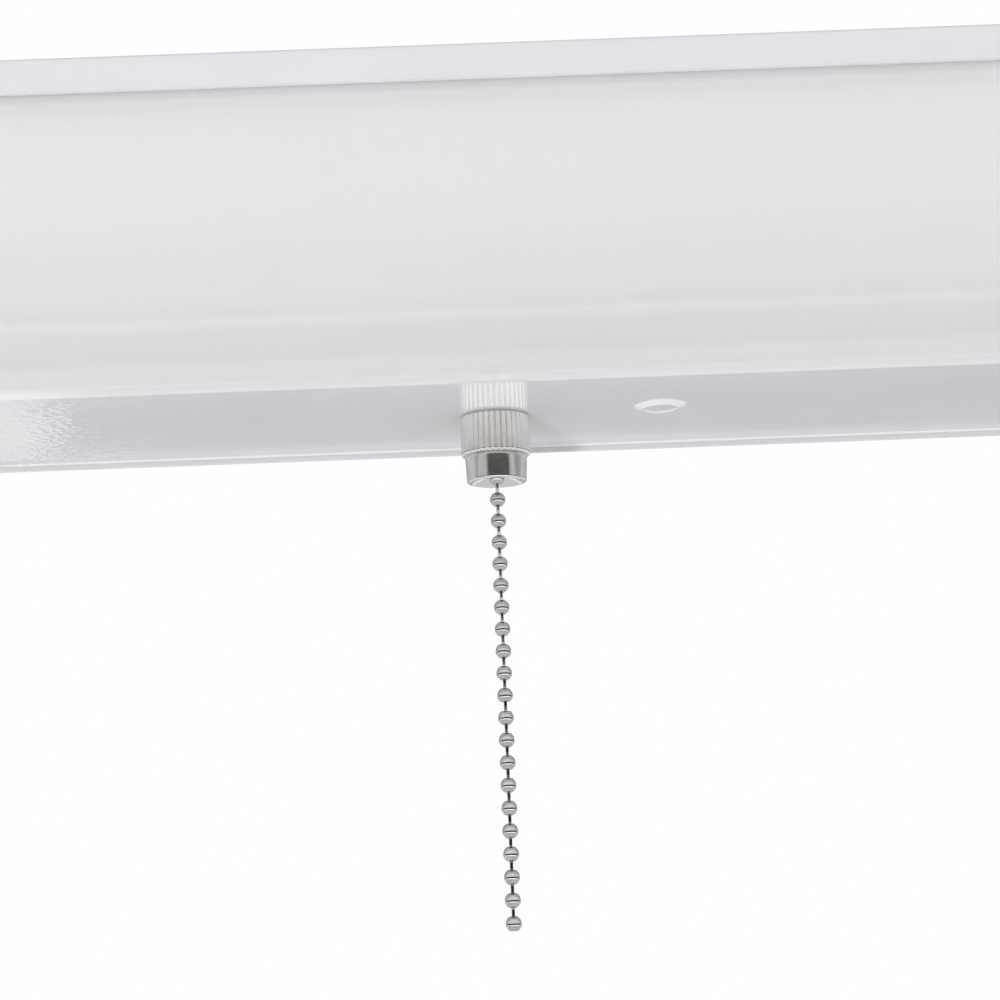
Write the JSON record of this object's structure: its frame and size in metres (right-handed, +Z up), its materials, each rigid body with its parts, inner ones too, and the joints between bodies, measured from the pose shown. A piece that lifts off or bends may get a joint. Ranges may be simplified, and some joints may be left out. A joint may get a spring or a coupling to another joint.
{
  "type": "ceiling light",
  "caption": "Slim ceiling closet light: folded white steel body, opal side lens and a ball-chain pull switch in its bottom cover.",
  "frame": {"origin": "middle of the flat face that lies against the ceiling", "axes": "+X along the tube, +Y from the lens to the back wall, +Z up into the ceiling"},
  "size_m": [0.476, 0.0901, 0.1614],
  "materials": {
    "enamel": "gloss white enamel on steel",
    "end_plastic": "white moulded plastic",
    "opal": "opal acrylic, satin gloss",
    "nickel": "bright nickel plate",
    "zinc": "zinc-plated steel",
    "spring_steel": "spring steel, bright",
    "bronze": "phosphor bronze",
    "brass": "brass",
    "lamp_glass": "glass tube with white phosphor inside",
    "aluminium": "aluminium, satin",
    "white_plastic": "white moulded urea",
    "phenolic": "black moulded phenolic",
    "case_paint": "dark grey paint on steel",
    "laminations": "varnished steel laminations",
    "winding": "taped copper winding",
    "black_lead": "black PVC insulation",
    "blue_lead": "blue PVC insulation",
    "yellow_lead": "yellow PVC insulation",
    "green_lead": "green PVC insulation"
  },
  "bodies": {
    "fixture": {"housing": "enamel", "end_cap_left": "end_plastic", "end_cap_right": "end_plastic", "end_cap_screws": "zinc", "bottom_cover": "enamel", "cover_screws": "zinc", "bonding_stud": "enamel", "bonding_nut": "zinc", "ring_terminal": "zinc", "divider": "enamel", "reflector": "enamel", "reflector_rivets": "aluminium", "lens_rail": "enamel", "lens_clips": "spring_steel", "clip_rivets": "aluminium", "lampholder_left": "white_plastic", "lampholder_right": "white_plastic", "holder_contacts_left": "bronze", "holder_contacts_right": "bronze", "ballast_case": "case_paint", "ballast_core": "laminations", "ballast_coil": "winding", "ballast_studs": "zinc", "ballast_nuts": "zinc", "starter_socket": "white_plastic", "terminal_block": "white_plastic", "terminal_screws": "brass", "switch_body": "phenolic", "switch_cover": "phenolic", "lock_washer": "zinc", "threaded_bushing": "nickel", "knurled_nut": "nickel", "return_spring": "spring_steel", "rotor_pin": "zinc", "switch_contacts": "bronze", "supply_leads": "black_lead", "ballast_leads": "blue_lead", "lamp_leads": "yellow_lead", "bonding_lead": "green_lead"},
    "lens": {"lens": "opal"},
    "lamp": {"lamp_tube": "lamp_glass", "lamp_cap_left": "aluminium", "lamp_cap_right": "aluminium", "lamp_pins": "brass"},
    "rotor_left": {"holder_rotor_left": "white_plastic"},
    "rotor_right": {"holder_rotor_right": "white_plastic"},
    "starter": {"starter_can": "aluminium", "starter_pins": "brass"},
    "pull": {"pull_stem": "nickel", "inner_beads": "nickel", "inner_links": "nickel"},
    "lever": {"driver_lever": "brass"},
    "contact_rotor": {"contact_rotor": "phenolic"},
    "upper_link": {"upper_link": "nickel"},
    "upper_chain": {"upper_beads": "nickel", "upper_links": "nickel"},
    "lower_link": {"lower_link": "nickel"},
    "lower_chain": {"lower_beads": "nickel", "lower_links": "nickel"}
  },
  "joints": [
    {"name": "lens_swing", "type": "hinge", "parent": "fixture", "child": "lens", "pos_m": [0, -0.0382, -0.0047], "axis": [-1, 0, 0], "range_deg": [0, 20]},
    {"name": "lamp_twist", "type": "hinge", "parent": "fixture", "child": "lamp", "pos_m": [0, -0.022, -0.029], "axis": [1, 0, 0], "range_deg": [0, 90]},
    {"name": "rotor_left_twist", "type": "hinge", "parent": "fixture", "child": "rotor_left", "pos_m": [-0.222, -0.022, -0.029], "axis": [1, 0, 0], "range_deg": [0, 90]},
    {"name": "rotor_right_twist", "type": "hinge", "parent": "fixture", "child": "rotor_right", "pos_m": [0.222, -0.022, -0.029], "axis": [1, 0, 0], "range_deg": [0, 90]},
    {"name": "starter_twist", "type": "hinge", "parent": "fixture", "child": "starter", "pos_m": [0.1, 0.024, -0.026], "axis": [-1, 0, 0], "range_deg": [0, 60]},
    {"name": "chain_pull", "type": "slide", "parent": "fixture", "child": "pull", "axis": [0, 0, -1], "range_m": [0, 0.008], "stiffness_N_per_m": 250, "springref_m": -0.004, "deforming": ["return_spring"]},
    {"name": "lever_turn", "type": "hinge", "parent": "fixture", "child": "lever", "pos_m": [0.009, 0.0128, -0.0366], "axis": [0, -1, 0], "range_deg": [0, 48.2]},
    {"name": "rotor_index", "type": "hinge", "parent": "fixture", "child": "contact_rotor", "pos_m": [0.009, 0.0128, -0.0366], "axis": [0, -1, 0], "continuous": true},
    {"name": "upper_swing_x", "type": "hinge", "parent": "pull", "child": "upper_link", "pos_m": [0, 0.0128, -0.07], "axis": [1, 0, 0], "range_deg": [-15, 15]},
    {"name": "upper_swing_y", "type": "hinge", "parent": "upper_link", "child": "upper_chain", "pos_m": [0, 0.0128, -0.0745], "axis": [0, 1, 0], "range_deg": [-15, 15]},
    {"name": "lower_swing_x", "type": "hinge", "parent": "upper_chain", "child": "lower_link", "pos_m": [0, 0.0128, -0.115], "axis": [1, 0, 0], "range_deg": [-15, 15]},
    {"name": "lower_swing_y", "type": "hinge", "parent": "lower_link", "child": "lower_chain", "pos_m": [0, 0.0128, -0.1195], "axis": [0, 1, 0], "range_deg": [-15, 15]}
  ],
  "couplings": [
    {"joint": "rotor_left_twist", "follows": "lamp_twist", "ratio": 1},
    {"joint": "rotor_right_twist", "follows": "lamp_twist", "ratio": 1},
    {"joint": "lever_turn", "follows": "chain_pull", "rad_per_m": 104.56}
  ]
}
